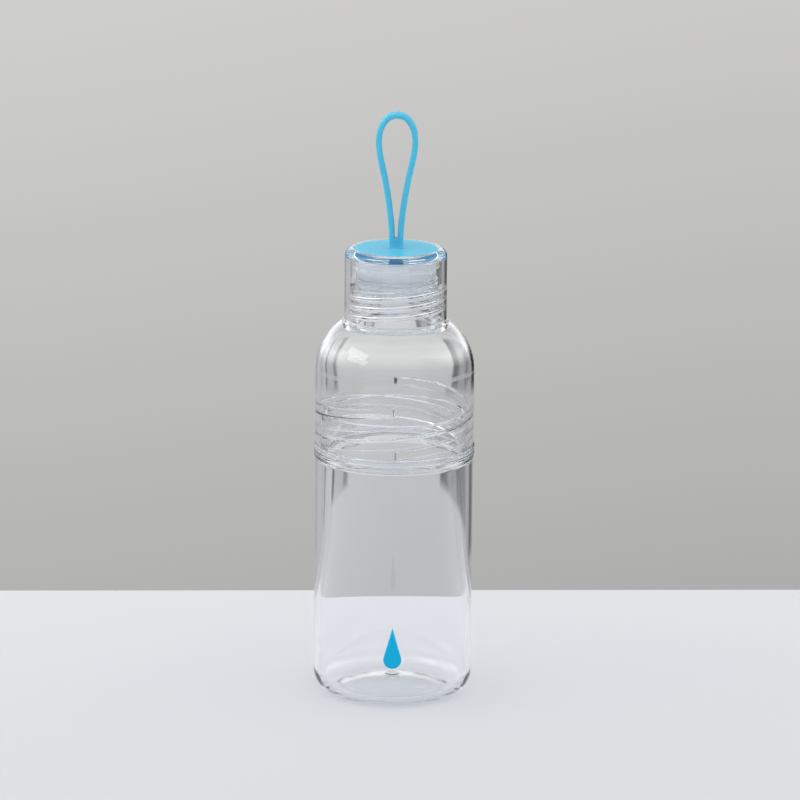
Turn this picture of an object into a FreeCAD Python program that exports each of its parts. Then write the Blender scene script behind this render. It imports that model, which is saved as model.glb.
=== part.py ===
import FreeCAD, Part
import Sketcher

import math
import os
import types

# A clear drinking bottle in two screwed halves, with a screw cap and a silicone carrying loop.
# +Z is up, the origin is the middle of the ring it stands on, and -Y is the printed front.
# Lengths are in millimetres.

SHEET = "Sizes"
NEAR = 1e-4  # edges this close to a stated place are the ones meant
THREAD_STARTS = 2  # both screw joints have two threads that run side by side

SIZES = (
    # name, value, what it is
    ("body_radius", 32.5, "outside of the body and of the shoulder"),
    ("body_wall", 1.9, "wall of the body at its base"),
    ("body_wall_top", 3.0, "wall of the body at its top, where moulding leaves it thicker"),
    ("base_rounding", 9.0, "outside rounding between base and side"),
    ("foot_width", 1.4, "flat ring that the bottle stands on"),
    ("foot_bevel", 1.4, "how far in the foot's inner slope runs"),
    ("foot_lift", 0.9, "how far up the foot's inner slope runs"),
    ("floor_thickness", 2.6, "floor beside the rounding"),
    ("punt_under", 4.3, "underside of the raised floor, at its middle"),
    ("punt_top", 6.8, "top of the raised floor, at its middle"),
    ("gate_radius", 3.0, "the boss that moulding leaves in the middle"),
    ("gate_rise", 0.7, "height of that boss"),
    ("flange_radius", 32.9, "beads that meet at the joint"),
    ("flange_slope", 0.4, "slope between bead and wall"),
    ("joint_height", 102.4, "top of the body's bead"),
    ("bead_height", 1.9, "height of one bead"),
    ("joint_gap", 0.3, "between body and shoulder"),
    ("collar_radius", 29.3, "outside of the body's threaded collar"),
    ("collar_wall", 2.0, "wall of that collar"),
    ("collar_top", 118.5, "rim of the body"),
    ("collar_taper", 4.0, "where the wall turns in to the collar"),
    ("skirt_bore", 30.7, "inside of the shoulder, from its skirt up to the curve"),
    ("body_lead", 18.0, "rise of one turn of the joint"),
    ("body_thread_rise", 9.0, "from the collar's lowest to its highest thread end"),
    ("body_tooth_root", 4.2, "thread width at the wall"),
    ("body_tooth_crest", 3.0, "thread width at its crest"),
    ("body_tooth_depth", 1.05, "how far a thread stands out"),
    ("body_thread_start", 106.5, "middle of the lowest thread end"),
    ("thread_bury", 0.3, "how deep a thread's root lies in its wall"),
    ("seal_bore", 30.75, "inside of the joint's seal"),
    ("seal_radius", 31.6, "outside of the joint's seal"),
    ("seal_height", 1.6, "height of the joint's seal"),
    ("seal_play", 0.1, "air around a seal"),
    ("shoulder_turn", 136.0, "where the shoulder starts to curve in"),
    ("shoulder_rounding", 24.6, "outside curve of the shoulder"),
    ("shoulder_inside_rounding", 19.5, "inside curve of the shoulder"),
    ("land_radius", 21.9, "flat that the cap closes on"),
    ("neck_radius", 17.4, "outside of the mouth's neck"),
    ("neck_bore", 15.4, "mouth"),
    ("neck_top", 173.4, "rim of the mouth"),
    ("cap_radius", 20.9, "outside of the cap"),
    ("cap_bore", 19.0, "inside of the cap"),
    ("cap_bottom", 157.0, "lower edge of the cap"),
    ("cap_top", 186.6, "top of the cap"),
    ("cap_rounding", 3.5, "rounding around the top"),
    ("recess_depth", 1.9, "recess for the silicone disc"),
    ("plate_thickness", 1.7, "top plate under that recess"),
    ("anchor_hole", 3.3, "hole for the silicone anchor"),
    ("cap_pitch", 4.0, "between neighbouring threads of the cap"),
    ("cap_lead", 8.0, "rise of one turn of the cap"),
    ("cap_tooth_root", 1.9, "thread width at the wall"),
    ("cap_tooth_crest", 0.8, "thread width at its crest"),
    ("cap_tooth_depth", 1.25, "how far a thread stands out"),
    ("neck_thread_start", 161.0, "middle of the neck's lowest thread end"),
    ("neck_thread_rise", 10.0, "from its lowest to its highest thread end"),
    ("cap_thread_rise", 12.0, "the same for the cap"),
    ("liner_radius", 16.4, "stopper above the rim"),
    ("liner_bottom", 174.9, "where the stopper steps in"),
    ("liner_wall", 1.6, "wall of the stopper"),
    ("plug_radius", 15.1, "stopper inside the mouth"),
    ("plug_bottom", 170.0, "lower face of the stopper"),
    ("liner_collar_radius", 17.9, "cap's collar around the stopper"),
    ("liner_collar_height", 3.5, "height of that collar"),
    ("fit_play", 0.05, "air between pieces that are pressed together"),
    ("washer_bore", 15.3, "inside of the mouth's seal"),
    ("washer_radius", 17.3, "outside of the mouth's seal"),
    ("disc_radius", 17.2, "silicone disc in the cap's recess"),
    ("disc_edge", 1.85, "thickness of the disc at its edge"),
    ("disc_crown", 0.4, "how far its middle stands above its edge"),
    ("anchor_radius", 3.2, "stem through the cap"),
    ("knob_radius", 4.8, "head that holds the stem"),
    ("knob_height", 2.0, "height of that head"),
    ("stem_width", 5.5, "strap where its legs join, across"),
    ("strap_depth", 5.6, "strap from front to back"),
    ("stem_top", 187.9, "top of the short stem on the disc"),
    ("bend_gap", 0.4, "air at the place where the strap bends"),
    ("slot_bottom", 192.3, "where the strap's legs part"),
    ("slot_half", 0.8, "half the gap between the legs there"),
    ("leg_bottom", 194.5, "where the legs start to spread"),
    ("loop_top", 242.7, "top of the loop"),
    ("loop_radius", 8.6, "outside of the loop's round top"),
    ("strap_thickness", 2.4, "strap from inside to outside of the loop"),
    ("strap_rounding", 0.8, "rounding along the strap's edges"),
    ("hinge_flat", 0.1, "narrow flat left under the loop's rounded lower end"),
    ("ink_thickness", 0.08, "printed mark"),
    ("drop_radius", 3.7, "round part of the printed drop"),
    ("drop_middle", 21.3, "height of the round part's centre"),
    ("drop_tip", 34.8, "tip of the drop"),
    ("edge_rounding", 0.5, "small rounding of rims and edges"),
)


class Size:
    """A length with its value and the spreadsheet expression that gives it."""

    def __init__(self, value, text):
        self.value = float(value)
        self.text = text

    @staticmethod
    def of(thing):
        return thing if isinstance(thing, Size) else Size(thing, repr(thing))

    def join(self, other, value, sign):
        return Size(value, f"({self.text} {sign} {Size.of(other).text})")

    def __add__(self, other):
        return self.join(other, self.value + Size.of(other).value, "+")

    def __sub__(self, other):
        return self.join(other, self.value - Size.of(other).value, "-")

    def __mul__(self, other):
        return self.join(other, self.value * Size.of(other).value, "*")

    def __truediv__(self, other):
        return self.join(other, self.value / Size.of(other).value, "/")

    def root(self):
        return Size(math.sqrt(self.value), f"sqrt({self.text})")


def make_sheet(doc):
    """Writes the sizes into the spreadsheet and returns them by name."""
    sheet = doc.addObject("Spreadsheet::Sheet", SHEET)
    for row, (name, value, meaning) in enumerate(SIZES, start=1):
        sheet.set(f"A{row}", name)
        sheet.set(f"B{row}", str(value))
        sheet.set(f"C{row}", meaning)
        sheet.setAlias(f"B{row}", name)
    doc.recompute()
    return types.SimpleNamespace(**{name: Size(value, f"{SHEET}.{name}") for name, value, _ in SIZES})


# ---------------------------------------------------------------- sketches and features


def origin_item(body, role):
    """One of the body's own origin planes or axes."""
    return next(item for item in body.Origin.OriginFeatures if item.Role == role)


def bind(target, attribute, size):
    """Sets an attribute and ties it to the spreadsheet."""
    setattr(target, attribute, size.value)
    target.setExpression(attribute, size.text)


def curve_between(start, end, bend):
    """The line or arc from start to end, and whether the arc is drawn from its end to its start.
    The bend is None for a line, or (radius, turns_left) for an arc that turns left or right on the way."""
    a = FreeCAD.Vector(start[0].value, start[1].value, 0)
    b = FreeCAD.Vector(end[0].value, end[1].value, 0)
    if bend is None:
        return Part.LineSegment(a, b), False
    radius, turns_left = bend
    chord = b - a
    to_left = FreeCAD.Vector(-chord.y, chord.x, 0).normalize()
    height = math.sqrt(max(radius.value**2 - (chord.Length / 2) ** 2, 0.0))
    centre = (a + b) / 2 + to_left * (height if turns_left else -height)
    first, last = (a, b) if turns_left else (b, a)
    angles = [math.atan2(p.y - centre.y, p.x - centre.x) for p in (first, last)]
    if angles[1] <= angles[0]:
        angles[1] += 2 * math.pi
    circle = Part.Circle(centre, FreeCAD.Vector(0, 0, 1), radius.value)
    return Part.ArcOfCircle(circle, *angles), not turns_left


def outline(body, name, plane, corners):
    """A closed sketch through the corners, with every corner tied to the spreadsheet.
    A corner is (across, up), or (across, up, radius, turns_left) where an arc leads on to the next corner."""
    sketch = body.newObject("Sketcher::SketchObject", name)
    sketch.AttachmentSupport = [(origin_item(body, plane), "")]
    sketch.MapMode = "FlatFace"
    draw_outline(sketch, corners)
    return sketch


def draw_outline(sketch, corners):
    """Draws the closed outline that outline() describes."""
    start_point = []
    for here, after in zip(corners, corners[1:] + corners[:1]):
        bend = here[2:] or None
        curve, backwards = curve_between(here, after, bend)
        index = sketch.addGeometry(curve, False)
        start_point.append(2 if backwards else 1)
        if bend:
            tie(sketch, Sketcher.Constraint("Radius", index, bend[0].value), bend[0])
    for index, here in enumerate(corners):
        before = (index - 1) % len(corners)
        sketch.addConstraint(
            Sketcher.Constraint("Coincident", before, 3 - start_point[before], index, start_point[index])
        )
        for kind, axis, coordinate in (("DistanceX", -2, here[0]), ("DistanceY", -1, here[1])):
            pin_corner(sketch, kind, axis, index, start_point[index], coordinate)


def pin_corner(sketch, kind, axis, index, point, coordinate):
    """Holds one coordinate of a corner: on the axis where it is zero, else at its distance from it."""
    if coordinate.value == 0:
        sketch.addConstraint(Sketcher.Constraint("PointOnObject", index, point, axis))
        return
    tie(sketch, Sketcher.Constraint(kind, -1, 1, index, point, coordinate.value), coordinate)


def tie(sketch, constraint, size):
    """Adds a constraint whose value comes from the spreadsheet."""
    number = sketch.addConstraint(constraint)
    sketch.setExpression(f"Constraints[{number}]", size.text)


def revolve(body, name, corners):
    """A turned solid: the outline of its right half, turned about the vertical axis."""
    sketch = outline(body, f"{name}_outline", "XZ_Plane", corners)
    turned = body.newObject("PartDesign::Revolution", name)
    turned.Profile = sketch
    turned.ReferenceAxis = (sketch, ["V_Axis"])
    turned.Angle = 360
    body.Document.recompute()
    return turned


def round_rims(body, name, base, radius, rims):
    """Rounds the circular edges that lie at these (radius, height) places."""
    chosen = []
    for number, edge in enumerate(base.Shape.Edges, start=1):
        for rim_radius, rim_height in rims:
            if lies_on_rim(edge, rim_radius.value, rim_height.value):
                chosen.append(f"Edge{number}")
    if len(chosen) < len(rims):
        raise RuntimeError(f"{body.Label}: found {len(chosen)} of {len(rims)} edges to round")
    fillet = body.newObject("PartDesign::Fillet", name)
    fillet.Base = (base, chosen)
    bind(fillet, "Radius", radius)
    body.Document.recompute()
    return fillet


def lies_on_rim(edge, radius, height):
    if edge.Degenerated or not isinstance(edge.Curve, Part.Circle):
        return False
    circle = edge.Curve
    return abs(circle.Radius - radius) < NEAR and abs(circle.Center.z - height) < NEAR


def add_threads(body, name, plane, wall, tooth, start, rise, lead):
    """All starts of a right-handed thread. The wall is (radius, +1 outside or -1 inside), the tooth is
    (root width, crest width, depth, bury), and start is the middle of the lowest end, in the plane."""
    wall_radius, side = wall
    root, crest, depth, bury = tooth
    foot = wall_radius - bury * side
    tip = wall_radius + depth * side
    corners = [
        (foot, start - root / 2),
        (tip, start - crest / 2),
        (tip, start + crest / 2),
        (foot, start + root / 2),
    ]
    if side < 0:
        corners.reverse()
    sketch = outline(body, f"{name}_tooth", plane, corners)
    helix = body.newObject("PartDesign::AdditiveHelix", name)
    helix.Profile = sketch
    helix.ReferenceAxis = (sketch, ["V_Axis"])
    helix.Mode = "pitch-height-angle"
    bind(helix, "Pitch", lead)
    bind(helix, "Height", rise)
    helix.LeftHanded = False
    helix.Reversed = False
    body.Document.recompute()
    pattern = body.newObject("PartDesign::PolarPattern", f"{name}_starts")
    pattern.Originals = [helix]
    pattern.Axis = (sketch, ["V_Axis"])
    pattern.Angle = 360
    pattern.Occurrences = THREAD_STARTS
    body.Tip = pattern
    body.Document.recompute()
    return pattern


def new_body(doc, label):
    """An empty body whose label is the name of its file."""
    body = doc.addObject("PartDesign::Body", label)
    body.Label = label
    body.Placement = FreeCAD.Placement()
    return body


# ---------------------------------------------------------------- the lower half


ON_AXIS = Size.of(0)
LEFT, RIGHT = True, False


def dome_radius(reach, rise):
    """The sphere whose cap is this wide from its middle and this high."""
    return (reach * reach + rise * rise) / (rise * 2)


def dome_fall(radius, reach):
    """How far a dome has fallen at this distance from its middle."""
    return radius - (radius * radius - reach * reach).root()


def make_bottle_body(doc, d):
    """The clear cup: raised floor, a wall that thins downwards, a bead and the joint's threaded collar."""
    body = new_body(doc, "bottle_body")
    wall_inside = d.body_radius - d.body_wall
    rounding_inside = d.base_rounding - d.body_wall
    foot_outside = d.body_radius - d.base_rounding
    foot_inside = foot_outside - d.foot_width
    collar_inside = d.collar_radius - d.collar_wall
    bead_bottom = d.joint_height - d.bead_height
    slope_end = foot_inside - d.foot_bevel
    floor_dome = dome_radius(foot_outside, d.punt_top - d.floor_thickness)
    gate_foot = d.punt_top - dome_fall(floor_dome, d.gate_radius)
    turned = revolve(
        body,
        "cup",
        [
            (ON_AXIS, d.punt_under, dome_radius(slope_end, d.punt_under - d.foot_lift), RIGHT),
            (slope_end, d.foot_lift),
            (foot_inside, ON_AXIS),
            (foot_outside, ON_AXIS, d.base_rounding, LEFT),
            (d.body_radius, d.base_rounding),
            (d.body_radius, bead_bottom - d.flange_slope),
            (d.flange_radius, bead_bottom),
            (d.flange_radius, d.joint_height),
            (d.collar_radius, d.joint_height),
            (d.collar_radius, d.collar_top),
            (collar_inside, d.collar_top),
            (collar_inside, d.joint_height),
            (d.body_radius - d.body_wall_top, d.joint_height - d.collar_taper),
            (wall_inside, d.floor_thickness + rounding_inside, rounding_inside, RIGHT),
            (foot_outside, d.floor_thickness, floor_dome, LEFT),
            (d.gate_radius, gate_foot),
            (d.gate_radius, d.punt_top + d.gate_rise),
            (ON_AXIS, d.punt_top + d.gate_rise),
        ],
    )
    rims = [(d.collar_radius, d.collar_top), (collar_inside, d.collar_top), (d.flange_radius, d.joint_height)]
    round_rims(body, "cup_rims", turned, d.edge_rounding, rims)
    collar, rise = (d.collar_radius, 1), d.body_thread_rise
    start = d.body_thread_start
    add_threads(body, "collar_thread", "XZ_Plane", collar, joint_tooth(d), start, rise, d.body_lead)
    return body


def joint_tooth(d):
    """The thread tooth of the joint between body and shoulder."""
    return d.body_tooth_root, d.body_tooth_crest, d.body_tooth_depth, d.thread_bury


def cap_tooth(d):
    """The thread tooth of the neck and the cap."""
    return d.cap_tooth_root, d.cap_tooth_crest, d.cap_tooth_depth, d.thread_bury


def make_printed_drop(doc, d):
    """A thin layer of ink in the shape of a drop, on the front of the body."""
    outside = doc.addObject("Part::Cylinder", "ink_outside")
    inside = doc.addObject("Part::Cylinder", "ink_inside")
    for cylinder, radius in ((outside, d.body_radius + d.ink_thickness), (inside, d.body_radius)):
        bind(cylinder, "Radius", radius)
        bind(cylinder, "Height", d.joint_height)
    layer = doc.addObject("Part::Cut", "ink_layer")
    layer.Base = outside
    layer.Tool = inside
    shape = new_body(doc, "drop_shape")
    middle = d.drop_middle
    reach = d.drop_tip - middle
    side = d.drop_radius * (reach * reach - d.drop_radius * d.drop_radius).root() / reach
    rise = d.drop_radius * d.drop_radius / reach
    half = [
        (ON_AXIS, middle - d.drop_radius, d.drop_radius, LEFT),
        (side, middle + rise),
        (ON_AXIS, d.drop_tip),
    ]
    sketch = outline(shape, "drop_half", "XZ_Plane", half)
    pad = shape.newObject("PartDesign::Pad", "drop_pad")
    pad.Profile = sketch
    bind(pad, "Length", d.body_radius + d.edge_rounding)
    doc.recompute()
    mirror_about_yz(shape, "drop_whole", pad)
    drop = doc.addObject("Part::Common", "printed_drop")
    drop.Base = layer
    drop.Tool = shape
    return drop


def mirror_about_yz(body, name, feature):
    mirrored = body.newObject("PartDesign::Mirrored", name)
    mirrored.Originals = [feature]
    mirrored.MirrorPlane = (origin_item(body, "YZ_Plane"), [""])
    body.Tip = mirrored
    body.Document.recompute()
    return mirrored


def make_body_seal(doc, d):
    """The silicone ring between the body's bead and the shoulder's skirt."""
    body = new_body(doc, "body_seal")
    bottom = d.joint_height + d.seal_play
    top = bottom + d.seal_height
    ring = [(d.seal_bore, bottom), (d.seal_radius, bottom), (d.seal_radius, top), (d.seal_bore, top)]
    revolve(body, "joint_ring", ring)
    return body


# ---------------------------------------------------------------- the shoulder


def make_shoulder(doc, d):
    """The clear upper half: threaded skirt, straight wall, curved shoulder and threaded neck."""
    body = new_body(doc, "shoulder")
    skirt_bottom = d.joint_height + d.joint_gap
    bead_top = skirt_bottom + d.bead_height
    seal_roof = d.joint_height + d.seal_height + d.seal_play * 2
    seal_seat = d.seal_radius + d.seal_play
    land_height = d.shoulder_turn + curve_rise(d.shoulder_rounding, d.body_radius - d.land_radius)
    mouth_foot = d.shoulder_turn + curve_rise(d.shoulder_inside_rounding, d.skirt_bore - d.neck_bore)
    turned = revolve(
        body,
        "shell",
        [
            (seal_seat, skirt_bottom),
            (d.flange_radius, skirt_bottom),
            (d.flange_radius, bead_top),
            (d.body_radius, bead_top + d.flange_slope),
            (d.body_radius, d.shoulder_turn, d.shoulder_rounding, LEFT),
            (d.land_radius, land_height),
            (d.neck_radius, land_height),
            (d.neck_radius, d.neck_top),
            (d.neck_bore, d.neck_top),
            (d.neck_bore, mouth_foot, d.shoulder_inside_rounding, RIGHT),
            (d.skirt_bore, d.shoulder_turn),
            (d.skirt_bore, seal_roof),
            (seal_seat, seal_roof),
        ],
    )
    rims = [(d.flange_radius, skirt_bottom), (d.neck_radius, d.neck_top), (d.neck_bore, d.neck_top)]
    round_rims(body, "shell_rims", turned, d.edge_rounding, rims)
    skirt, lead = (d.skirt_bore, -1), d.body_lead
    add_threads(body, "skirt_thread", "YZ_Plane", skirt, joint_tooth(d), d.body_thread_start, lead, lead)
    neck, rise = (d.neck_radius, 1), d.neck_thread_rise
    add_threads(body, "neck_thread", "XZ_Plane", neck, cap_tooth(d), d.neck_thread_start, rise, d.cap_lead)
    return body


def curve_rise(radius, drop):
    """How far a curve that starts upright has risen where it has come in by the drop."""
    return (radius * radius - (radius - drop) * (radius - drop)).root()


def make_cap_seal(doc, d):
    """The silicone washer between the rim of the mouth and the stopper."""
    body = new_body(doc, "cap_seal")
    bottom = d.neck_top + d.seal_play
    top = d.liner_bottom - d.seal_play
    ring = [(d.washer_bore, bottom), (d.washer_radius, bottom), (d.washer_radius, top), (d.washer_bore, top)]
    revolve(body, "washer", ring)
    return body


# ---------------------------------------------------------------- the cap


def plate_heights(d):
    """The lower and upper face of the cap's top plate, inside the recess."""
    top = d.cap_top - d.recess_depth
    return top - d.plate_thickness, top


def make_cap_shell(doc, d):
    """The clear cap: threaded inside, a recess on top for the silicone disc and a collar for the stopper."""
    body = new_body(doc, "cap_shell")
    plate_bottom, plate_top = plate_heights(d)
    recess_radius = d.cap_radius - d.cap_rounding
    stopper_seat = d.liner_radius + d.fit_play
    collar_bottom = plate_bottom - d.liner_collar_height
    turned = revolve(
        body,
        "shell",
        [
            (d.cap_bore, d.cap_bottom),
            (d.cap_radius, d.cap_bottom),
            (d.cap_radius, d.cap_top - d.cap_rounding, d.cap_rounding, LEFT),
            (recess_radius, d.cap_top),
            (recess_radius, plate_top),
            (d.anchor_hole, plate_top),
            (d.anchor_hole, plate_bottom),
            (stopper_seat, plate_bottom),
            (stopper_seat, collar_bottom),
            (d.liner_collar_radius, collar_bottom),
            (d.liner_collar_radius, plate_bottom),
            (d.cap_bore, plate_bottom),
        ],
    )
    round_rims(body, "shell_rims", turned, d.edge_rounding, [(d.cap_radius, d.cap_bottom)])
    bore, rise = (d.cap_bore, -1), d.cap_thread_rise
    start = d.neck_thread_start - d.cap_pitch / 2
    add_threads(body, "cap_thread", "XZ_Plane", bore, cap_tooth(d), start, rise, d.cap_lead)
    return body


def make_cap_liner(doc, d):
    """The frosted stopper: a hollow cup whose narrow end closes the mouth."""
    body = new_body(doc, "cap_liner")
    plate_bottom, _ = plate_heights(d)
    hollow_floor = d.liner_bottom + d.liner_wall
    turned = revolve(
        body,
        "stopper",
        [
            (ON_AXIS, d.plug_bottom),
            (d.plug_radius, d.plug_bottom),
            (d.plug_radius, d.liner_bottom),
            (d.liner_radius, d.liner_bottom),
            (d.liner_radius, plate_bottom - d.fit_play),
            (d.liner_radius - d.liner_wall, plate_bottom - d.fit_play),
            (d.liner_radius - d.liner_wall, hollow_floor),
            (ON_AXIS, hollow_floor),
        ],
    )
    round_rims(body, "stopper_rim", turned, d.edge_rounding, [(d.plug_radius, d.plug_bottom)])
    return body


# ---------------------------------------------------------------- the silicone strap


def make_strap_base(doc, d):
    """The strap's lower end: a crowned disc, a short stem above it and an anchor through the cap below."""
    body = new_body(doc, "strap_base")
    plate_bottom, plate_top = plate_heights(d)
    disc_bottom = plate_top + d.fit_play
    disc_edge = plate_top + d.disc_edge
    knob_top = plate_bottom - d.fit_play
    crown = dome_radius(d.disc_radius, d.disc_crown)
    revolve(
        body,
        "disc",
        [
            (ON_AXIS, knob_top - d.knob_height),
            (d.knob_radius, knob_top - d.knob_height),
            (d.knob_radius, knob_top),
            (d.anchor_radius, knob_top),
            (d.anchor_radius, disc_bottom),
            (d.disc_radius, disc_bottom),
            (d.disc_radius, disc_edge, crown, LEFT),
            (ON_AXIS, disc_edge + d.disc_crown),
        ],
    )
    half_width = d.stem_width / 2
    half = [
        (ON_AXIS, plate_top + d.fit_play),
        (half_width, plate_top + d.fit_play),
        (half_width, d.stem_top),
        (ON_AXIS, d.stem_top),
    ]
    mirror_about_yz(body, "stem_whole", pad_both_ways(body, "stem", half, d.strap_depth))
    return body


def pad_both_ways(body, name, corners, depth):
    """An outline in the front plane, padded as far to the front as to the back."""
    sketch = outline(body, f"{name}_outline", "XZ_Plane", corners)
    pad = body.newObject("PartDesign::Pad", name)
    pad.Profile = sketch
    pad.Midplane = True
    bind(pad, "Length", depth)
    body.Document.recompute()
    return pad


def touch_point(start, centre_height, radius):
    """Where a line from the start touches the right side of a circle whose centre is on the axis."""
    across, up = start
    fall = centre_height - up
    reach = across * across + fall * fall
    slide = (reach - radius * radius).root() * radius
    touch_across = (radius * radius * across + slide * fall) / reach
    touch_fall = (radius * radius * fall - slide * across) / reach
    return touch_across, centre_height - touch_fall


def make_strap_loop(doc, d):
    """The loop above the bend: a short stem, two spreading legs and a round top, in one flat strap."""
    body = new_body(doc, "strap_loop")
    half_width = d.stem_width / 2
    loop_centre = d.loop_top - d.loop_radius
    inner_radius = d.loop_radius - d.strap_thickness
    outer_start = (half_width, d.leg_bottom)
    inner_start = (d.slot_half, d.slot_bottom + d.slot_half)
    outer_touch = touch_point(outer_start, loop_centre, d.loop_radius)
    inner_touch = touch_point(inner_start, loop_centre, inner_radius)
    half = [
        (ON_AXIS, d.stem_top + d.bend_gap),
        (half_width, d.stem_top + d.bend_gap),
        outer_start,
        (*outer_touch, d.loop_radius, LEFT),
        (ON_AXIS, d.loop_top),
        (ON_AXIS, loop_centre + inner_radius, inner_radius, RIGHT),
        inner_touch,
        (*inner_start, d.slot_half, RIGHT),
        (ON_AXIS, d.slot_bottom),
    ]
    mirrored = mirror_about_yz(body, "whole", pad_both_ways(body, "legs", half, d.strap_depth))
    round_strap(body, d, mirrored)
    return body


def round_strap(body, d, base):
    """Rounds the strap's long edges, and its lower end so far that the strap can bend about it."""
    front = d.strap_depth.value / 2
    lowest = d.stem_top.value + d.bend_gap.value
    along, under = [], []
    for number, edge in enumerate(base.Shape.Edges, start=1):
        box = edge.BoundBox
        flat = box.YLength < NEAR and abs(abs(box.YMin) - front) < NEAR
        if flat and box.ZMax - lowest < NEAR:
            under.append(f"Edge{number}")
        elif flat:
            along.append(f"Edge{number}")
    for name, edges, radius in (
        ("hinge_rounding", under, (d.strap_depth - d.hinge_flat) / 2),
        ("strap_rounding", along, d.strap_rounding),
    ):
        fillet = body.newObject("PartDesign::Fillet", name)
        fillet.Base = (base, edges)
        bind(fillet, "Radius", radius)
        body.Document.recompute()
        base = fillet
    body.Tip = base


# ---------------------------------------------------------------- the whole bottle


MAKERS = (
    make_bottle_body,
    make_printed_drop,
    make_body_seal,
    make_shoulder,
    make_cap_seal,
    make_cap_shell,
    make_cap_liner,
    make_strap_base,
    make_strap_loop,
)


def check_document(doc, pieces):
    """Stops on a failed object or a piece that isn't one valid solid."""
    for item in doc.Objects:
        if "Invalid" in item.State or "Error" in item.State:
            raise RuntimeError(f"{item.Name} failed: {item.State}")
    for piece in pieces:
        shape = piece.Shape
        if shape.isNull() or not shape.isValid() or len(shape.Solids) != 1:
            raise RuntimeError(f"{piece.Label} isn't one valid solid")


def main():
    doc = FreeCAD.newDocument("bottle")
    sizes = make_sheet(doc)
    pieces = [make(doc, sizes) for make in MAKERS]
    doc.recompute()
    check_document(doc, pieces)
    os.makedirs("parts", exist_ok=True)
    for piece in pieces:
        piece.Shape.exportStep(f"parts/{piece.Label}.step")
        print(f"{piece.Label}: {piece.Shape.Volume / 1000:.2f} ml of material, {piece.Shape.BoundBox}")


main()
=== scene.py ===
import math

import bmesh
import bpy
import numpy as np
from mathutils import Matrix, Vector


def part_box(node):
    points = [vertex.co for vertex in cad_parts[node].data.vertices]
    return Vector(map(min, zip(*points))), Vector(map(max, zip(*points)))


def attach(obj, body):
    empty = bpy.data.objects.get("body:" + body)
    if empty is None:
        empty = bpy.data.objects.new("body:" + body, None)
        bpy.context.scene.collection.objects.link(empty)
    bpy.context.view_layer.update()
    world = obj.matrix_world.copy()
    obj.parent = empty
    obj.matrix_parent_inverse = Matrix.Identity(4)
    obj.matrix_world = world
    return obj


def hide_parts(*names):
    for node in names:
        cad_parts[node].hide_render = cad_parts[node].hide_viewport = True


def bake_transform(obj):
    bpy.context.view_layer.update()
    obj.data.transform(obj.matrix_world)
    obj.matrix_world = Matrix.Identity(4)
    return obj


# The looks of a clear two-part screw bottle with a silicone carrying loop, built around its CAD frame.
# Shapes are written in millimetres, as the drawing of such a bottle would be, and meshes are in metres.

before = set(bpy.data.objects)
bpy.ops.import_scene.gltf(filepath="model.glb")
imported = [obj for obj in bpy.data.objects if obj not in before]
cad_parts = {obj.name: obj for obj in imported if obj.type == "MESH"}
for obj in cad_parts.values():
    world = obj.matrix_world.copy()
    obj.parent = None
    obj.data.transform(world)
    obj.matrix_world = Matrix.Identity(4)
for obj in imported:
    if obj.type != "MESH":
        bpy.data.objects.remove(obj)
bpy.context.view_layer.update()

MM = 0.001
ROUND_STEPS = 360  # segments around each turned piece
CORNER_STEPS = 7  # segments in each small rounding
THREAD_ROW = 0.1  # rows on a wall with a thread, so that its flanks are smooth
PLAIN_ROW = 40.0  # rows on a wall without one
THREAD_END = 0.7  # length over which a thread's end fades into its wall
NEAR = 0.001  # lengths closer than this are the same
RIGHT, BACK = 0.0, 90.0  # directions around the bottle, in degrees
DEGREES_PER_STEP = 6  # a rounding of 1 mm turns this far in each step, and a larger one less


# ---------------------------------------------------------------- turned pieces


def arc_corner(before, corner, after, radius):
    """The points of a rounded corner, from the run before it to the run after it."""
    to_before = (before - corner) / np.linalg.norm(before - corner)
    to_after = (after - corner) / np.linalg.norm(after - corner)
    half = math.acos(np.clip(to_before @ to_after, -1, 1)) / 2
    reach = radius / math.tan(half)
    middle = to_before + to_after
    centre = corner + middle / np.linalg.norm(middle) * radius / math.sin(half)
    start, end = corner + to_before * reach - centre, corner + to_after * reach - centre
    turn = math.atan2(start[0] * end[1] - start[1] * end[0], start @ end)
    steps = max(CORNER_STEPS, round(abs(math.degrees(turn)) * radius / DEGREES_PER_STEP))
    points = []
    for share in np.linspace(0, 1, steps + 1):
        c, s = math.cos(turn * share), math.sin(turn * share)
        points.append(centre + np.array([c * start[0] - s * start[1], s * start[0] + c * start[1]]))
    return points


def rounded(corners):
    """A closed outline as points, from corners (radius, height) or (radius, height, rounding)."""
    places = [np.array(corner[:2], float) for corner in corners]
    points = []
    for index, corner in enumerate(corners):
        rounding = corner[2] if len(corner) > 2 else 0
        if rounding:
            before, after = places[index - 1], places[(index + 1) % len(places)]
            points += arc_corner(before, places[index], after, rounding)
        else:
            points.append(places[index])
    return np.array(points + points[:1])


def dome(edge, top, steps=14):
    """Points up a shallow dome, from its edge (radius, height) to just beside its middle."""
    reach, rise = edge[0], top - edge[1]
    sphere = (reach**2 + rise**2) / (2 * rise)
    radii = np.linspace(reach, 0, steps, endpoint=False)[1:]
    return [(radius, top - sphere + math.sqrt(sphere**2 - radius**2)) for radius in radii]


def close_rows(points, step):
    """The same outline with no run longer than the step, and close rows at the ends of each long run."""
    edge_row = 0.12
    least_share = 0.3
    out = [points[0]]
    for start, end in zip(points, points[1:]):
        length = np.linalg.norm(end - start)
        count = max(1, math.ceil(length / step(start, end)))
        shares = list(np.arange(1, count) / count)
        near_end = edge_row / length
        if near_end < least_share / count:
            shares = [near_end] + shares + [1 - near_end]
        out += [start + (end - start) * share for share in shares] + [end]
    return np.array(out)


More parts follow.
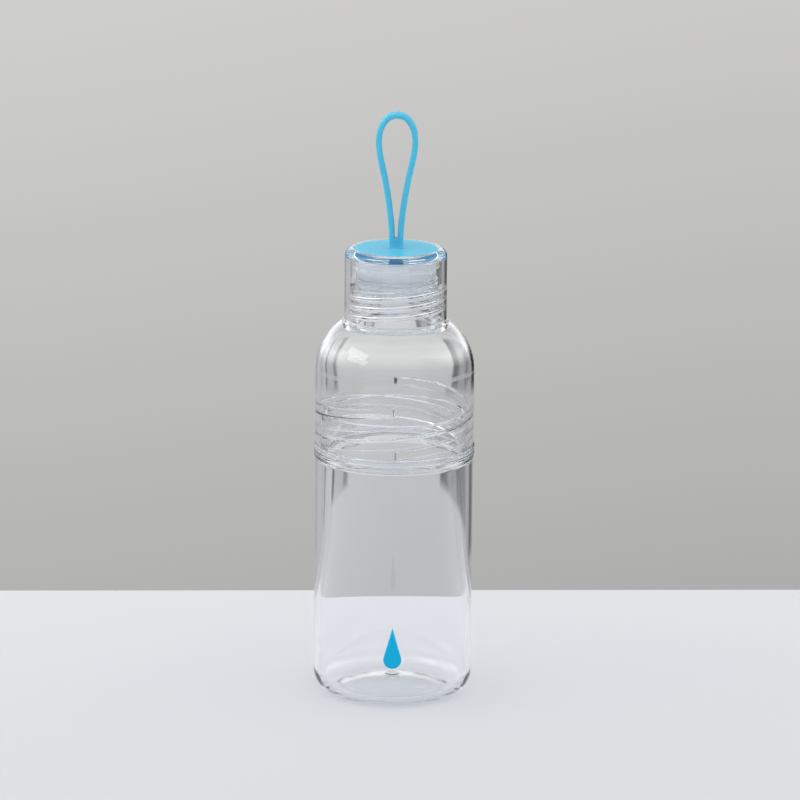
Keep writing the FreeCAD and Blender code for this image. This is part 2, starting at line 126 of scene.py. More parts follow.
class Thread:
    """Two raised threads on a wall, half a turn apart.

    The wall is a radius, and the side is 1 for a thread on its outside or -1 for one on its inside.
    A tooth is its width at the root, its width at the crest and its depth.
    The first thread begins at an angle, in degrees. Both begin at the start's height and climb by the rise.
    """

    def __init__(self, wall, side, tooth, first_angle, start, rise, lead):
        self.wall, self.side = wall, side
        self.root, self.crest, self.depth = tooth
        self.first_angle, self.start, self.rise, self.lead = first_angle, start, rise, lead

    def covers(self, radius, height):
        inside = (height > self.start - self.root) & (height < self.start + self.rise + self.root)
        return (abs(radius - self.wall) < NEAR) & inside

    def lift(self, angles, radii, heights):
        """How far the wall stands out, for every row and every angle."""
        total = 2 * math.pi * self.rise / self.lead
        blunt = THREAD_END / self.wall
        flank = (self.root - self.crest) / 2
        lift = np.zeros((len(heights), len(angles)))
        for first in (self.first_angle, self.first_angle + 180):
            way = (angles - math.radians(first)) % (2 * math.pi)
            for turn in range(math.ceil(total / (2 * math.pi)) + 1):
                along = way + 2 * math.pi * turn
                ends = smooth(along / blunt) * smooth((total - along) / blunt)
                middle = self.start + self.lead * along / (2 * math.pi)
                away = abs(heights[:, None] - middle[None, :])
                tooth = smooth((self.root / 2 - away) / flank)
                lift = np.maximum(lift, tooth * ends[None, :])
        return lift * self.depth * self.side * self.covers(radii, heights)[:, None]


def smooth(share):
    share = np.clip(share, 0, 1)
    return share * share * (3 - 2 * share)


def turned(name, corners, threads=()):
    """A closed turned mesh from its outline, with threads raised on its walls."""

    def step(start, end):
        middle = (start + end) / 2
        near = any(thread.covers(middle[0], middle[1]) or crosses(thread, start, end) for thread in threads)
        return THREAD_ROW if near else PLAIN_ROW

    outline = close_rows(rounded(corners), step)[:-1]
    radii, heights = outline[:, 0], outline[:, 1]
    angles = np.linspace(0, 2 * math.pi, ROUND_STEPS, endpoint=False)
    spread = np.repeat(radii[:, None], ROUND_STEPS, axis=1)
    for thread in threads:
        spread = spread + thread.lift(angles, radii, heights)
    upright = np.repeat(heights[:, None], ROUND_STEPS, axis=1)
    points = np.stack([spread * np.cos(angles), spread * np.sin(angles), upright], axis=2)
    return grid_mesh(name, points * MM, radii)


def crosses(thread, start, end):
    """Whether an upright run lies on the thread's wall and meets its heights."""
    upright = abs(start[0] - thread.wall) < NEAR and abs(end[0] - thread.wall) < NEAR
    low, high = sorted((start[1], end[1]))
    return upright and low < thread.start + thread.rise + thread.root and high > thread.start - thread.root


def grid_mesh(name, points, radii):
    """A mesh from rows of points around the axis. A row on the axis becomes one point."""
    vertices, rows = [], []
    for row, radius in zip(points, radii):
        if radius < NEAR:
            rows.append([len(vertices)] * ROUND_STEPS)
            vertices.append(row[0])
        else:
            rows.append(list(range(len(vertices), len(vertices) + ROUND_STEPS)))
            vertices.extend(row)
    faces = []
    for low, high in zip(rows, rows[1:] + rows[:1]):
        for index in range(ROUND_STEPS):
            after = (index + 1) % ROUND_STEPS
            corners = [low[index], low[after], high[after], high[index]]
            face = list(dict.fromkeys(corners))
            if len(face) > 2:
                faces.append(face)
    return new_piece(name, vertices, faces)


def ring_faces(rings, count, first=0):
    """The faces between rings of points, from the first point on."""
    faces = []
    for ring in range(rings - 1):
        for index in range(count):
            a, b = first + ring * count + index, first + ring * count + (index + 1) % count
            faces.append([a, b, b + count, a + count])
    return faces


def new_piece(name, vertices, faces):
    """A smooth-shaded piece of the scene with its faces turned outwards."""
    mesh = bpy.data.meshes.new(name)
    mesh.from_pydata([tuple(map(float, v)) for v in vertices], [], faces)
    shape = bmesh.new()
    shape.from_mesh(mesh)
    bmesh.ops.recalc_face_normals(shape, faces=shape.faces)
    shape.to_mesh(mesh)
    shape.free()
    mesh.shade_smooth()
    piece = bpy.data.objects.new(name, mesh)
    bpy.context.scene.collection.objects.link(piece)
    return piece


# ---------------------------------------------------------------- materials


def node(tree, kind, **inputs):
    """A new shader node with its sockets set by name: a value, or another node's output to link."""
    made = tree.nodes.new(kind)
    for name, value in inputs.items():
        socket = made.inputs[name.replace("_", " ")]
        if isinstance(value, bpy.types.NodeSocket):
            tree.links.new(value, socket)
        else:
            socket.default_value = value
    return made


def maths(tree, operation, first, second):
    """The output of a sum on two numbers or nodes' outputs."""
    made = tree.nodes.new("ShaderNodeMath")
    made.operation = operation
    for socket, value in zip(made.inputs, (first, second)):
        if isinstance(value, bpy.types.NodeSocket):
            tree.links.new(value, socket)
        else:
            socket.default_value = value
    return made.outputs[0]


def blank_material(name):
    material = bpy.data.materials.new(name)
    material.use_nodes = True
    tree = material.node_tree
    tree.nodes.clear()
    return material, tree, tree.nodes.new("ShaderNodeOutputMaterial")


def blended(tree, share, first, second):
    """A colour between two colours, or between two nodes' outputs."""
    made = node(tree, "ShaderNodeMix", Factor=share)
    made.data_type = "RGBA"
    for socket, colour in ((made.inputs[6], first), (made.inputs[7], second)):
        if isinstance(colour, bpy.types.NodeSocket):
            tree.links.new(colour, socket)
        else:
            socket.default_value = (*colour, 1)
    return made.outputs[2]


def span(tree, value, low, high):
    """Turns 0 to 1 into low to high."""
    return node(tree, "ShaderNodeMapRange", Value=value, To_Min=low, To_Max=high).outputs["Result"]


def span_from(tree, value, low, high):
    """Turns low to high into 0 to 1."""
    return node(tree, "ShaderNodeMapRange", Value=value, From_Min=low, From_Max=high).outputs["Result"]


def object_place(tree):
    """The place on the piece, in metres from the frame's origin."""
    return tree.nodes.new("ShaderNodeTexCoord").outputs["Object"]


def noise(tree, scale, detail=2.0, stretch=(1, 1, 1)):
    mapping = node(tree, "ShaderNodeMapping", Vector=object_place(tree), Scale=stretch)
    made = node(tree, "ShaderNodeTexNoise", Vector=mapping.outputs["Vector"], Scale=scale, Detail=detail)
    return made.outputs["Fac"]


def bump(tree, height, strength, distance):
    made = node(tree, "ShaderNodeBump", Height=height, Strength=strength, Distance=distance)
    return made.outputs["Normal"]


EDGE_TINT = (0.8, 0.82, 0.86)  # of a lamp's light through a wall that it grazes
CLEAR_BELOW, MILKY_ABOVE = 172.0, 180.0  # heights on the stopper


def clear_plastic():
    """Glossy clear copolyester, whose walls are a little wavy from moulding."""
    material, tree, output = blank_material("clear_plastic")
    wave = noise(tree, 34.0, detail=1.0, stretch=(1, 1, 0.5))
    normal = bump(tree, wave, 1.0, 0.00002)
    rough = span(tree, noise(tree, 420.0, detail=3.0), 0.0, 0.025)
    shader = node(
        tree,
        "ShaderNodeBsdfPrincipled",
        Base_Color=(0.985, 0.992, 1.0, 1),
        Roughness=rough,
        IOR=1.55,
        Transmission_Weight=1.0,
        Normal=normal,
    )
    return let_lamps_through(material, tree, output, shader, (0.985, 0.988, 0.99))


def let_lamps_through(material, tree, output, shader, tint):
    """Joins a clear shader to the output so that a lamp's light passes through it, less at its edges."""
    facing = node(tree, "ShaderNodeLayerWeight", Blend=0.4).outputs["Facing"]
    passing = node(tree, "ShaderNodeBsdfTransparent", Color=blended(tree, facing, tint, EDGE_TINT))
    path = tree.nodes.new("ShaderNodeLightPath")
    soft_ray = maths(tree, "MAXIMUM", path.outputs["Is Shadow Ray"], path.outputs["Is Diffuse Ray"])
    mix = tree.nodes.new("ShaderNodeMixShader")
    tree.links.new(soft_ray, mix.inputs[0])
    tree.links.new(shader.outputs["BSDF"], mix.inputs[1])
    tree.links.new(passing.outputs["BSDF"], mix.inputs[2])
    tree.links.new(mix.outputs["Shader"], output.inputs["Surface"])
    return material


def frosted_plastic():
    """The stopper's plastic, with a fine grain: etched and milky above, and nearly clear at its lower end."""
    material, tree, output = blank_material("frosted_plastic")
    grain = noise(tree, 2600.0, detail=3.0)
    place = node(tree, "ShaderNodeSeparateXYZ", Vector=object_place(tree))
    height = span_from(tree, place.outputs["Z"], CLEAR_BELOW * MM, MILKY_ABOVE * MM)
    etch = maths(tree, "MULTIPLY", height, span(tree, noise(tree, 300.0), 0.85, 1.0))
    shader = node(
        tree,
        "ShaderNodeBsdfPrincipled",
        Base_Color=(0.93, 0.975, 0.99, 1),
        Roughness=span(tree, etch, 0.25, 0.62),
        IOR=1.3,
        Transmission_Weight=span(tree, etch, 0.95, 0.22),
        Subsurface_Weight=1.0,
        Subsurface_Scale=0.004,
        Normal=bump(tree, grain, 0.35, 0.00004),
    )
    shader.inputs["Subsurface Radius"].default_value = (1.0, 1.0, 1.0)
    return let_lamps_through(material, tree, output, shader, (0.9, 0.93, 0.95))


def clear_silicone():
    """The seals: soft, cloudy silicone with a satin face."""
    material, tree, output = blank_material("clear_silicone")
    shader = node(
        tree,
        "ShaderNodeBsdfPrincipled",
        Base_Color=(0.9, 0.93, 0.96, 1),
        Roughness=span(tree, noise(tree, 500.0), 0.06, 0.12),
        IOR=1.41,
        Transmission_Weight=0.85,
        Normal=bump(tree, noise(tree, 900.0), 0.3, 0.000012),
    )
    return let_lamps_through(material, tree, output, shader, (0.85, 0.88, 0.9))


def blue_silicone():
    """The strap: satin silicone that lets some light in, with the fine grain of its mould."""
    material, tree, output = blank_material("blue_silicone")
    cloud = noise(tree, 90.0, detail=3.0)
    shader = node(
        tree,
        "ShaderNodeBsdfPrincipled",
        Base_Color=blended(tree, cloud, (0.09, 0.50, 0.71), (0.11, 0.54, 0.75)),
        Roughness=span(tree, noise(tree, 1500.0), 0.36, 0.48),
        IOR=1.41,
        Subsurface_Weight=0.9,
        Subsurface_Scale=0.005,
        Normal=bump(tree, noise(tree, 3800.0, detail=4.0), 0.3, 0.00003),
    )
    shader.inputs["Subsurface Radius"].default_value = (0.35, 0.9, 1.0)
    tree.links.new(shader.outputs["BSDF"], output.inputs["Surface"])
    return material


def blue_ink():
    """Screen-printed ink: nearly flat, with the faint tooth of the screen."""
    material, tree, output = blank_material("blue_ink")
    screen = node(tree, "ShaderNodeTexVoronoi", Vector=object_place(tree), Scale=3200.0)
    shader = node(
        tree,
        "ShaderNodeBsdfPrincipled",
        Base_Color=(0.0, 0.46, 0.8, 1),
        Specular_IOR_Level=0.2,
        Roughness=span(tree, noise(tree, 700.0), 0.35, 0.5),
        Normal=bump(tree, screen.outputs["Distance"], 0.25, 0.00003),
    )
    tree.links.new(shader.outputs["BSDF"], output.inputs["Surface"])
    return material


def finish_piece(piece, material, slot, body, *nodes):
    """Gives a piece its material, the body it rides on and the CAD nodes it stands for. Its slot is not used.
    """
    piece.data.materials.clear()
    piece.data.materials.append(material)
    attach(piece, body)
    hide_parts(*nodes)


# ---------------------------------------------------------------- the clear pieces

BODY_RADIUS = 32.5
BEAD_RADIUS = 32.9
WALL_TOP, WALL_BASE = 29.5, 30.6  # inside of the body, whose wall thins downwards
JOINT = 102.4  # height of the joint, on top of the body's bead
COLLAR_RADIUS, COLLAR_BORE, COLLAR_TOP = 29.3, 27.3, 118.5
SKIRT_BORE, SKIRT_BOTTOM = 30.7, 102.7
SEAL_RADIUS, SEAL_TOP = 31.7, 104.2  # the groove in the skirt for the joint's seal
SHOULDER_TURN = 136.0  # height at which the shoulder begins to curve in
NECK_RADIUS, MOUTH_BORE, MOUTH = 17.4, 15.4, 173.4
CAP_RADIUS, CAP_BORE, CAP_BOTTOM, CAP_TOP = 20.9, 19.0, 157.0, 186.6
RECESS_RADIUS, PLATE_TOP, PLATE_BOTTOM = 17.4, 184.7, 183.0
STOPPER_RADIUS, PLUG_RADIUS = 16.4, 15.1
JOINT_TOOTH = (4.2, 3.0, 1.05)
CAP_TOOTH = (1.9, 0.8, 1.25)
EDGE = 0.5


def make_body():
    """The lower cup: raised floor with its moulding boss, straight wall, bead and threaded collar."""
    floor = [(23.5, 2.6)] + dome((23.5, 2.6), 6.8)
    floor = [point for point in floor if point[0] > 3.4]
    under = dome((20.7, 0.9), 4.3)[::-1]
    corners = [
        (0, 4.3),
        *under,
        (20.7, 0.9, 0.6),
        (22.1, 0, 0.35),
        (BODY_RADIUS, 0, 9.0),
        (BODY_RADIUS, 100.1, 0.3),
        (BEAD_RADIUS, 100.5, 0.2),
        (BEAD_RADIUS, JOINT, EDGE),
        (COLLAR_RADIUS, JOINT, 0.3),
        (COLLAR_RADIUS, COLLAR_TOP, EDGE),
        (COLLAR_BORE, COLLAR_TOP, EDGE),
        (COLLAR_BORE, JOINT, 1.5),
        (WALL_TOP, 98.4, 1.5),
        (WALL_BASE, 2.6, 7.0),
        *floor,
        (3.0, 6.85, 0.3),
        (2.8, 7.5, 0.3),
        (0, 7.5),
    ]
    thread = Thread(COLLAR_RADIUS, 1, JOINT_TOOTH, RIGHT, 106.5, 9.0, 18.0)
    piece = turned("clear_body", corners, [thread])
    finish_piece(piece, CLEAR, "clear_plastic", "bottle", "bottle_body")


def make_shoulder():
    """The upper half: threaded skirt, straight wall, curved shoulder and threaded neck."""
    corners = [
        (SEAL_RADIUS, SKIRT_BOTTOM, 0.2),
        (BEAD_RADIUS, SKIRT_BOTTOM, EDGE),
        (BEAD_RADIUS, 104.6, 0.2),
        (BODY_RADIUS, 105.0, 0.3),
        *curve((BODY_RADIUS, SHOULDER_TURN), 24.6, 21.9),
        (NECK_RADIUS, 156.2, 0.4),
        (NECK_RADIUS, MOUTH, EDGE),
        (MOUTH_BORE, MOUTH, EDGE),
        *curve((SKIRT_BORE, SHOULDER_TURN), 19.5, MOUTH_BORE)[::-1],
        (SKIRT_BORE, SEAL_TOP, 0.2),
        (SEAL_RADIUS, SEAL_TOP, 0.2),
    ]
    skirt = Thread(SKIRT_BORE, -1, JOINT_TOOTH, BACK, 106.5, 18.0, 18.0)
    neck = Thread(NECK_RADIUS, 1, CAP_TOOTH, RIGHT, 161.0, 10.0, 8.0)
    piece = turned("clear_shoulder", corners, [skirt, neck])
    finish_piece(piece, CLEAR, "clear_plastic", "shoulder", "shoulder")


def curve(foot, rounding, end_radius, steps=40):
    """Points along a curve that starts upright at its foot and comes in to the end radius."""
    centre = foot[0] - rounding
    last = math.acos((end_radius - centre) / rounding)
    angles = np.linspace(0, last, steps + 1)
    return [(centre + rounding * math.cos(a), foot[1] + rounding * math.sin(a)) for a in angles]


def make_cap():
    """The clear cap: threaded bore, rounded top, recess for the disc and a collar for the stopper."""
    hole, collar_inside, collar_outside, collar_bottom = 3.3, 16.45, 17.9, 179.5
    corners = [
        (CAP_BORE, CAP_BOTTOM, 0.3),
        (CAP_RADIUS, CAP_BOTTOM, EDGE),
        (CAP_RADIUS, CAP_TOP, 3.3),
        (RECESS_RADIUS, CAP_TOP, 0.15),
        (RECESS_RADIUS, PLATE_TOP, 0.2),
        (hole, PLATE_TOP, 0.15),
        (hole, PLATE_BOTTOM, 0.15),
        (collar_inside, PLATE_BOTTOM, 0.15),
        (collar_inside, collar_bottom, 0.2),
        (collar_outside, collar_bottom, 0.2),
        (collar_outside, PLATE_BOTTOM, 0.3),
        (CAP_BORE, PLATE_BOTTOM, 0.3),
    ]
    thread = Thread(CAP_BORE, -1, CAP_TOOTH, RIGHT, 159.0, 12.0, 8.0)
    piece = turned("clear_cap", corners, [thread])
    finish_piece(piece, CLEAR, "clear_plastic", "cap", "cap_shell")


# ---------------------------------------------------------------- stopper and seals


def make_stopper():
    """The frosted stopper, hollow above, with a narrower plug below."""
    bottom, flange, floor, top, bore = 170.0, 174.9, 176.5, 182.95, 14.8
    corners = [
        (0, bottom),
        (PLUG_RADIUS, bottom, 0.6),
        (PLUG_RADIUS, flange, 0.25),
        (STOPPER_RADIUS, flange, 0.3),
        (STOPPER_RADIUS, top, 0.3),
        (bore, top, 0.3),
        (bore, floor, 0.8),
        (0, floor),
    ]
    piece = turned("frosted_stopper", corners)
    finish_piece(piece, FROSTED, "frosted_plastic", "cap", "cap_liner")


def make_seals():
    """The two silicone rings, each with soft edges."""
    rings = (
        ("joint_seal", "joint_ring", "body_seal", 0.38),
        ("mouth_seal", "mouth_ring", "cap_seal", 0.35),
    )
    for name, body, cad_node, rounding in rings:
        low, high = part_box(cad_node)
        outside, bottom, top = high.x / MM, low.z / MM, high.z / MM
        inside = ring_bore(cad_node) / MM
        corners = [
            (inside, bottom, rounding),
            (outside, bottom, rounding),
            (outside, top, rounding),
            (inside, top, rounding),
        ]
        finish_piece(turned(name, corners), SEAL, "clear_silicone", body, cad_node)


def ring_bore(cad_node):
    return min(math.hypot(v.co.x, v.co.y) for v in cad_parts[cad_node].data.vertices)


# ---------------------------------------------------------------- the printed mark

INK_ABOVE, INK_BELOW = 0.08, 0.04  # the ink's two faces, from the wall
INK_RINGS = (1.0, 0.8, 0.55, 0.3, 0.1)  # copies of the drop's border, so that its faces follow the wall


def drop_border(bottom, tip, radius):
    """The outline of a drop: a round part and a tip, as places across the front and up."""
    middle = bottom + radius
    touch = math.acos(radius / (tip - middle))
    angles = np.linspace(touch, math.pi, 26)
    right_side = [(0.0, tip)] + [(radius * math.sin(a), middle + radius * math.cos(a)) for a in angles]
    left_side = [(-x, z) for x, z in right_side[-2:0:-1]]
    return right_side + left_side


def on_wall(across, height, depth):
    """A point on the body's front, where the flat drop is wrapped around the wall."""
    around = across / BODY_RADIUS
    out = BODY_RADIUS + depth
    return (out * math.sin(around) * MM, -out * math.cos(around) * MM, height * MM)


def make_print():
    """A drop of ink on the front. It is a thin patch that follows the wall and lies a little way into it."""
    low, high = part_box("printed_drop")
    bottom, tip = low.z / MM, high.z / MM
    radius = (high.x - low.x) / 2 / MM
    middle = bottom + radius
    border = drop_border(bottom, tip, radius)
    vertices = []
    for depth in (INK_ABOVE, -INK_BELOW):
        for share in INK_RINGS:
            vertices += [on_wall(x * share, middle + (z - middle) * share, depth) for x, z in border]
    count, per_side = len(border), len(border) * len(INK_RINGS)
    faces = []
    for side in (0, per_side):
        faces += ring_faces(len(INK_RINGS), count, side)
        last = side + (len(INK_RINGS) - 1) * count
        faces.append(list(range(last, last + count)))
    for index in range(count):
        after = (index + 1) % count
        faces.append([index, after, per_side + after, per_side + index])
    piece = new_piece("ink_drop", vertices, faces)
    finish_piece(piece, INK, "blue_ink", "bottle", "printed_drop")


# ---------------------------------------------------------------- the silicone strap

STRAP_DEPTH = 5.6
STRAP_THICK = 2.4
STRAP_ROUNDING = 0.9
STRAP_VOXEL = 0.2
STEM_WIDTH = 5.6
SLOT_BOTTOM = 190.6
# the middle of one leg, from the slot up to the top of the loop: distance from the axis and height
LEG = (
    (1.75, 190.2),
    (1.93, 195.0),
    (2.46, 200.0),
    (3.05, 205.0),
    (3.88, 210.1),
    (4.78, 215.1),
    (5.85, 220.1),
    (6.9, 225.1),
    (7.4, 230.1),
    (6.95, 234.6),
    (5.5, 238.2),
    (3.1, 240.7),
    (0.0, 241.5),
)


def smooth_line(points, per_span=12):
    """A smooth line through the points."""
    points = np.array(points, float)
    ahead = np.vstack([2 * points[0] - points[1], points, 2 * points[-1] - points[-2]])
    line = []
    for index in range(1, len(ahead) - 2):
        a, b, c, d = ahead[index - 1 : index + 3]
        for t in np.linspace(0, 1, per_span, endpoint=False):
            square = (2 * a - 5 * b + 4 * c - d) * t**2
            cube = (3 * b - a - 3 * c + d) * t**3
            line.append(0.5 * ((2 * b) + (c - a) * t + square + cube))
    return np.array(line + [points[-1]])


def soft_rectangle(half_width, half_depth, rounding, steps=6):
    """The points of a rectangle with round corners, from its right side round by its back."""
    points = []
    for quarter, (x, y) in enumerate(((1, 1), (-1, 1), (-1, -1), (1, -1))):
        for share in np.linspace(0, 1, steps + 1):
            angle = math.radians(90 * (quarter + share))
            across = x * (half_width - rounding) + rounding * math.cos(angle)
            deep = y * (half_depth - rounding) + rounding * math.sin(angle)
            points.append((across, deep))
    return np.array(points)


def tube_faces(rings, count):
    """The faces of a tube with closed ends, made of rings of points."""
    faces = ring_faces(rings, count)
    faces.append(list(range(count))[::-1])
    faces.append(list(range((rings - 1) * count, rings * count)))
    return faces


def strap_legs():
    """Both legs and the top of the loop, as one bent bar."""
    line = smooth_line([(-x, z) for x, z in LEG] + list(LEG[-2::-1]))
    section = soft_rectangle(STRAP_THICK / 2, STRAP_DEPTH / 2, STRAP_ROUNDING)
    vertices = []
    for index, point in enumerate(line):
        before, after = line[max(index - 1, 0)], line[min(index + 1, len(line) - 1)]
        along = (after - before) / np.linalg.norm(after - before)
        across = np.array([along[1], -along[0]])
        for x, y in section:
            place = point + across * x
            vertices.append((place[0] * MM, y * MM, place[1] * MM))
    return vertices, tube_faces(len(line), len(section))


def strap_stem():
    """The stem below the slot, which spreads where it meets the disc."""
    foot, flare, rooted = 186.2, 2.7, 0.8
    spreading = foot + flare * (1 - np.cos(np.linspace(0, math.pi / 2, 12)))
    heights = [foot - rooted, *spreading, SLOT_BOTTOM]
    vertices = []
    for height in heights:
        rise = min(max(height - foot, 0), flare)
        spread = flare - math.sqrt(flare**2 - (flare - rise) ** 2)
        section = soft_rectangle(STEM_WIDTH / 2 + spread, STRAP_DEPTH / 2 + spread, STRAP_ROUNDING + spread)
        vertices += [(x * MM, y * MM, height * MM) for x, y in section]
    return vertices, tube_faces(len(heights), len(section))


def strap_disc():
    """The crowned disc in the cap's recess, with the anchor and its head below."""
    low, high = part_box("strap_base")
    bottom = low.z / MM
    radius = high.x / MM
    head_radius, head_top, anchor_radius = 4.8, bottom + 2.0, 3.2
    edge, top, rounding = 186.6, 186.95, 0.55
    rim_bottom, hollow = 184.62, 184.9  # the disc rests on its rim, and is hollow inside it
    crown = dome((radius - 0.6, edge), top)
    return [
        (0, bottom),
        (head_radius, bottom, 0.5),
        (head_radius, head_top, 0.3),
        (anchor_radius, head_top, 0.2),
        (anchor_radius, hollow, 0.1),
        (11.5, hollow, 0.2),
        (12.2, rim_bottom, 0.2),
        (radius, rim_bottom, 0.35),
        (radius, edge, rounding),
        *crown,
        (0, top),
    ]


def make_strap():
    """The whole strap as one soft moulding, from the disc in the cap up to the loop."""
    strap = turned("silicone_strap", strap_disc())
    for vertices, faces in (strap_legs(), strap_stem()):
        join_into(strap, new_piece("strap_part", vertices, faces))
    melt = strap.modifiers.new("one_skin", "REMESH")
    melt.mode = "VOXEL"
    melt.voxel_size = STRAP_VOXEL * MM
    melt.use_smooth_shade = True
    soften = strap.modifiers.new("soften", "SMOOTH")
    soften.factor = 0.5
    soften.iterations = 7
    apply_modifiers(strap)
    strap.data.materials.clear()
    strap.data.materials.append(STRAP)
    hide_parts("strap_base", "strap_loop")
    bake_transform(strap)


def join_into(target, other):
    """Adds the other piece's mesh to the target's, and removes the other piece."""
    shape = bmesh.new()
    shape.from_mesh(target.data)
    shape.from_mesh(other.data)
    shape.to_mesh(target.data)
    shape.free()
    spare = other.data
    bpy.data.objects.remove(other)
    bpy.data.meshes.remove(spare)


def apply_modifiers(piece):
    """Keeps the piece's shape as its modifiers leave it, in its own mesh."""
    shaped = bpy.data.meshes.new_from_object(piece.evaluated_get(bpy.context.evaluated_depsgraph_get()))
    old = piece.data
    piece.modifiers.clear()
    piece.data = shaped
    bpy.data.meshes.remove(old)
    shaped.shade_smooth()


# ---------------------------------------------------------------- table, backdrop, lights and camera

TABLE_BACK = 0.158  # the table ends this far behind the bottle
TABLE_FRONT = -1.1
TABLE_SIDE = 0.44
TABLE_TURN = 2.3  # degrees that its far edge is turned
# painted light: the table's colour at its front, in painted shade, and at its far edge, lighter, standing in
# for the light's falloff
TABLE_NEAR_SHADED, TABLE_FAR_LIT = (0.668, 0.677, 0.700), (0.722, 0.730, 0.756)
CAMERA_RISE = 13.65  # degrees above level
CAMERA_AWAY = 2.5
CAMERA_ROLL = 0.55
FOCAL_SHARE = 6085 / 800  # focal length over the width of the picture
AIM_RIGHT, AIM_UP = 0.0024, 0.0222  # the picture's middle, beside the point that the bottle turns about
TURN_POINT = Vector((0, 0, 0.1))

# the softbox's glow, from straight in front (0) to straight behind (1)
SOFTBOX_GLOW = ((0.0, 0.75), (0.32, 0.75), (0.70, 2.2), (0.80, 1.6), (0.94, 0.7), (1.0, 0.7))
# the cards' soft lower and upper edges, as a direction's upward part
FLAG_BOTTOM, FLAG_TOP = (-0.2266, -0.2244), (0.05, 0.15)
# how much light comes from beside the backdrop: tangent of the angle aside, and share of the light
FLAGS = (
    (-0.35, 1.0),
    (-0.34, 0.35),
    (-0.30, 0.35),
    (-0.29, 1.0),
    (-0.170, 1.0),
    (-0.165, 0.12),
    (-0.146, 0.12),
    (-0.141, 0.78),
    (-0.091, 0.78),
    (-0.087, 0.25),
    (-0.079, 0.25),
    (-0.075, 1.0),
    (0.073, 1.0),
    (0.078, 0.12),
    (0.100, 0.12),
    (0.105, 0.5),
    (0.170, 0.5),
    (0.178, 0.04),
    (0.50, 0.04),
    (0.60, 0.85),
)


def make_table():
    """The pale table top, with painted light falloff: a little lighter towards its far edge and darker
    towards the front.
    """
    slope = math.tan(math.radians(TABLE_TURN))
    corners = [
        (-TABLE_SIDE, TABLE_FRONT, 0),
        (TABLE_SIDE, TABLE_FRONT, 0),
        (TABLE_SIDE, TABLE_BACK + slope * TABLE_SIDE, 0),
        (-TABLE_SIDE, TABLE_BACK - slope * TABLE_SIDE, 0),
    ]
    table = new_piece("table_top", corners, [[0, 1, 2, 3]])
    material, tree, output = blank_material("table_tone_and_painted_falloff")
    place = node(tree, "ShaderNodeSeparateXYZ", Vector=object_place(tree))
    # painted shade: the colour darkens from the far edge towards the front, as the light falls off
    depth = span_from(tree, place.outputs["Y"], -0.16, 0.14)
    cloud = span(tree, noise(tree, 14.0, detail=3.0), -0.1, 0.1)
    shader = node(
        tree,
        "ShaderNodeBsdfPrincipled",
        Base_Color=blended(tree, maths(tree, "ADD", depth, cloud), TABLE_NEAR_SHADED, TABLE_FAR_LIT),
        Roughness=0.75,
        Specular_IOR_Level=0.1,
    )
    tree.links.new(shader.outputs["BSDF"], output.inputs["Surface"])
    table.data.materials.append(material)


def make_world():
    """A grey backdrop for what is seen straight or through the walls, and a studio for what is reflected."""
    world = bpy.data.worlds.new("studio")
    bpy.context.scene.world = world
    world.use_nodes = True
    tree = world.node_tree
    tree.nodes.clear()
    direction = tree.nodes.new("ShaderNodeTexCoord").outputs["Generated"]
    split = node(tree, "ShaderNodeSeparateXYZ", Vector=direction)
    backdrop = ramp(
        tree,
        span_from(tree, split.outputs["Z"], -0.27, -0.15),
        ((0.0, (0.427, 0.427, 0.424)), (1.0, (0.655, 0.650, 0.634))),
    )
    room = ramp(
        tree,
        span_from(tree, split.outputs["Z"], -1.0, 1.0),
        (
            (0.0, (0.45, 0.45, 0.46)),
            (0.36, (0.47, 0.47, 0.48)),
            (0.52, (0.52, 0.52, 0.54)),
            (0.74, (0.55, 0.55, 0.56)),
            (1.0, (0.80, 0.80, 0.81)),
        ),
    )
    studio = node(tree, "ShaderNodeVectorMath")
    tree.links.new(room, studio.inputs[0])
    tree.links.new(softbox(tree, split), studio.inputs[1])
    path = tree.nodes.new("ShaderNodeLightPath")
    mirrored = maths(tree, "GREATER_THAN", path.outputs["Glossy Depth"], 0.5)
    mirrored = maths(tree, "MAXIMUM", mirrored, path.outputs["Is Diffuse Ray"])
    colour = blended(tree, mirrored, backdrop, studio.outputs[0])
    background = node(tree, "ShaderNodeBackground", Color=colour, Strength=dark_flags(tree, split))
    output = tree.nodes.new("ShaderNodeOutputWorld")
    tree.links.new(background.outputs["Background"], output.inputs["Surface"])


def softbox(tree, split):
    """The glow of a wide softbox, which slopes from high in front down to low behind."""
    ahead, up = split.outputs["Y"], split.outputs["Z"]
    over_lower_edge = maths(tree, "ADD", up, maths(tree, "MULTIPLY", ahead, 0.23))
    over_upper_edge = maths(tree, "ADD", up, maths(tree, "MULTIPLY", ahead, 0.5))
    above = greys(tree, span_from(tree, over_lower_edge, 0.21, 0.32), ((0, 0), (1, 1)))
    below = greys(tree, span_from(tree, over_upper_edge, 0.66, 0.82), ((0, 1), (1, 0)))
    glow = greys(tree, span_from(tree, ahead, -1.0, 1.0), SOFTBOX_GLOW)
    return maths(tree, "MULTIPLY", glow, maths(tree, "MULTIPLY", above, below))


def greys(tree, value, stops):
    """A grey for each value from 0 to 1, from stops of (place, shade)."""
    return ramp(tree, value, [(place, (shade,) * 3) for place, shade in stops])


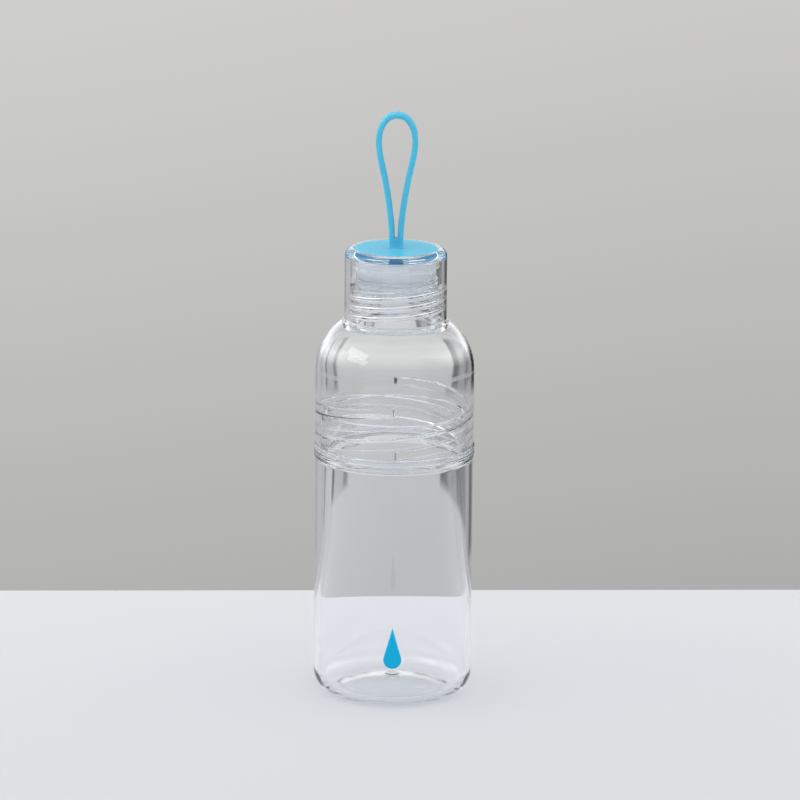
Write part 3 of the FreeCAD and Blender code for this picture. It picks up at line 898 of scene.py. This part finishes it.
def dark_flags(tree, split):
    """Light's share by direction: cards behind the bottle darken its thick walls, and the left is lighter."""
    behind = maths(tree, "MAXIMUM", split.outputs["Y"], 0.001)
    aside = maths(tree, "DIVIDE", split.outputs["X"], behind)
    stops = [((1 + place) / 2, shade) for place, shade in FLAGS]
    cards = greys(tree, span_from(tree, aside, -1.0, 1.0), stops)
    below = greys(tree, span_from(tree, split.outputs["Z"], *FLAG_BOTTOM), ((0, 1), (1, 0)))
    above = greys(tree, span_from(tree, split.outputs["Z"], *FLAG_TOP), ((0, 0), (1, 1)))
    cards = maths(tree, "MAXIMUM", cards, maths(tree, "MAXIMUM", below, above))
    left_to_right = greys(tree, span_from(tree, aside, -0.06, 0.06), ((0, 1.0), (1, 0.935)))
    in_front = greys(tree, span_from(tree, split.outputs["Y"], 0.0, 0.25), ((0, 1), (1, 0)))
    return maths(tree, "MAXIMUM", maths(tree, "MULTIPLY", cards, left_to_right), in_front)


def ramp(tree, value, stops):
    """A colour for each value from 0 to 1, from stops of (place, colour)."""
    made = tree.nodes.new("ShaderNodeValToRGB")
    tree.links.new(value, made.inputs["Fac"])
    elements = made.color_ramp.elements
    while len(elements) < len(stops):
        elements.new(0.5)
    for element, (position, colour) in zip(elements, stops):
        element.position = position
        element.color = (*colour, 1)
    return made.outputs["Color"]


def make_lamp():
    """A large soft lamp from the upper left."""
    data = bpy.data.lights.new("key_softbox", "AREA")
    data.shape = "RECTANGLE"
    data.size, data.size_y = 1.0, 0.35
    data.energy = 3.0
    lamp = bpy.data.objects.new("key_softbox", data)
    lamp.location = (-1.26, -0.47, 1.09)
    lamp.rotation_euler = (TURN_POINT - lamp.location).to_track_quat("-Z", "Y").to_euler()
    bpy.context.scene.collection.objects.link(lamp)


def make_camera():
    """A long lens above and in front of the bottle, rolled a little."""
    rise = math.radians(CAMERA_RISE)
    back = Vector((0, -math.cos(rise), math.sin(rise)))
    right = Vector((1, 0, 0))
    up = back.cross(right)
    place = TURN_POINT + back * CAMERA_AWAY
    roll = math.radians(CAMERA_ROLL)
    aim_right = right * math.cos(roll) + up * math.sin(roll)
    aim_up = up * math.cos(roll) - right * math.sin(roll)
    aim = TURN_POINT + aim_right * AIM_RIGHT + aim_up * AIM_UP
    data = bpy.data.cameras.new("camera")
    data.lens = data.sensor_width * FOCAL_SHARE
    data.clip_start, data.clip_end = 0.05, 50
    camera = bpy.data.objects.new("camera", data)
    look = (aim - place).to_track_quat("-Z", "Y").to_matrix().to_4x4()
    camera.matrix_world = Matrix.Translation(place) @ look @ Matrix.Rotation(roll, 4, "Z")
    bpy.context.scene.collection.objects.link(camera)
    bpy.context.scene.camera = camera


def set_light_paths():
    """Enough bounces for the many clear walls, and plain tones."""
    scene = bpy.context.scene
    scene.view_settings.view_transform = "Standard"
    scene.cycles.max_bounces = 40
    scene.cycles.transmission_bounces = 40
    scene.cycles.glossy_bounces = 16
    scene.cycles.transparent_max_bounces = 48
    scene.cycles.sample_clamp_indirect = 6.0


CLEAR = clear_plastic()
FROSTED = frosted_plastic()
SEAL = clear_silicone()
STRAP = blue_silicone()
INK = blue_ink()

make_camera()
make_body()
make_shoulder()
make_cap()
make_stopper()
make_seals()
make_print()
make_strap()
make_table()
make_world()
make_lamp()
set_light_paths()
